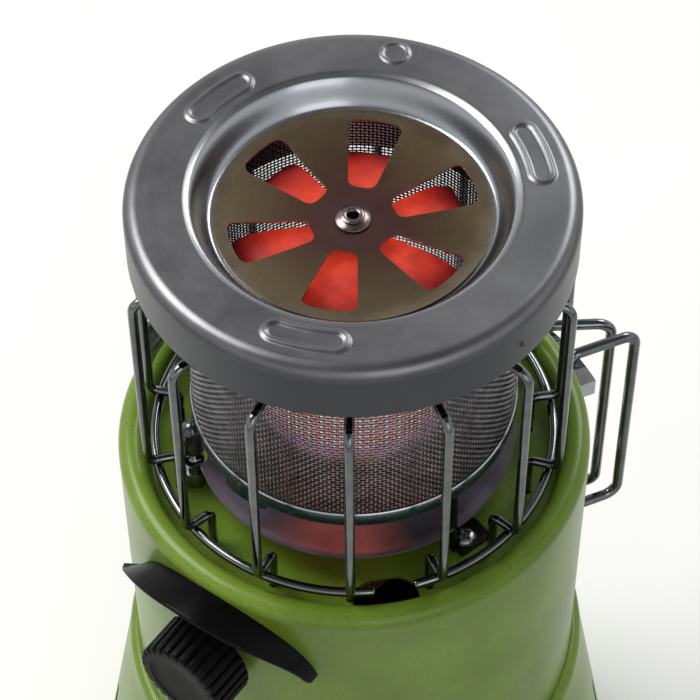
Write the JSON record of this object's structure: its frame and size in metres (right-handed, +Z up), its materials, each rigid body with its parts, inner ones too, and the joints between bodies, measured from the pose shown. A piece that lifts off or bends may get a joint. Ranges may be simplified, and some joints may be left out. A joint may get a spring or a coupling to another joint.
{
  "type": "portable propane heater",
  "caption": "Upright portable radiant heater: flared base over a gas cylinder, drum with fluted knob, wire guard, woven screen and ring cap.",
  "frame": {"origin": "centre of the footprint on the table, under the heater's vertical axis", "axes": "+Z up, the front of the heater faces -Y, +X to the right seen from the front"},
  "size_m": [0.2315, 0.2316, 0.4082],
  "materials": {
    "enamel": "glossy green enamel",
    "housing_enamel": "glossy green enamel",
    "ballast": "black paint",
    "foot_rubber": "matte",
    "hood_plastic": "glossy black",
    "knob_plastic": "fine matte black",
    "spring_steel": "zinc plated",
    "wire_chrome": "polished",
    "plate_chrome": "polished",
    "cap_steel": "satin",
    "heated_steel": "heat tinted",
    "glow_steel": "glowing red",
    "mesh_steel": "woven wire",
    "burner_steel": "dull",
    "pan_steel": "polished",
    "tile_ceramic": "porous",
    "gasket_fibre": "mineral fibre",
    "bracket_paint": "black",
    "screw_steel": "zinc plated",
    "sensor_glass": "glazed dark",
    "lead_rubber": "silicone",
    "piezo_plastic": "moulded",
    "valve_brass": "machined",
    "seal_rubber": "moulded"
  },
  "bodies": {
    "heater": {"base_housing": "housing_enamel", "ballast_ring": "ballast", "rubber_feet": "foot_rubber", "drum_shell": "enamel", "knob_hood": "hood_plastic", "hood_clips": "spring_steel", "hinge_lugs": "plate_chrome", "lug_rivets": "screw_steel", "guard_plate": "plate_chrome", "guard_hoop": "wire_chrome", "guard_wires": "wire_chrome", "guard_top_ring": "wire_chrome", "cap": "cap_steel", "cap_disc": "heated_steel", "centre_eyelet": "cap_steel", "eyelet_washer": "cap_steel", "radiant_dome": "glow_steel", "mesh_screen": "mesh_steel", "mesh_band": "cap_steel", "burner_plate": "burner_steel", "reflector_pan": "pan_steel", "burner_cup": "burner_steel", "tile_gasket": "gasket_fibre", "ceramic_tile": "tile_ceramic", "mixing_tube": "burner_steel", "tube_flange": "burner_steel", "flange_screws": "screw_steel", "support_brackets": "bracket_paint", "bracket_screws": "screw_steel", "sensor_nut": "screw_steel", "sensor_stem": "wire_chrome", "sensor_dome": "sensor_glass", "ignition_lead": "lead_rubber", "piezo_unit": "piezo_plastic", "valve_body": "valve_brass", "valve_hanger": "spring_steel", "hanger_screws": "screw_steel", "valve_bolts": "screw_steel", "packing_nut": "valve_brass", "gas_jet": "valve_brass", "regulator_body": "valve_brass", "diaphragm": "seal_rubber", "regulator_cover": "valve_brass", "regulator_screws": "screw_steel", "inlet_collar": "valve_brass", "inlet_seal": "seal_rubber"},
    "knob": {"valve_spindle": "valve_brass", "control_knob": "knob_plastic"},
    "front_loop": {"handle_front": "wire_chrome"},
    "rear_loop": {"handle_rear": "wire_chrome"}
  },
  "joints": [
    {"name": "knob_turn", "type": "hinge", "parent": "heater", "child": "knob", "pos_m": [0, 0, 0.2404], "axis": [-0.5878, -0.809, 0], "range_deg": [0, 270]},
    {"name": "front_loop_swing", "type": "hinge", "parent": "heater", "child": "front_loop", "pos_m": [0.08416, 0.05117, 0.2], "axis": [0, 0, 1], "range_deg": [-78, 8]},
    {"name": "rear_loop_swing", "type": "hinge", "parent": "heater", "child": "rear_loop", "pos_m": [0.07308, 0.06604, 0.2], "axis": [0, 0, 1], "range_deg": [-4, 120]}
  ]
}
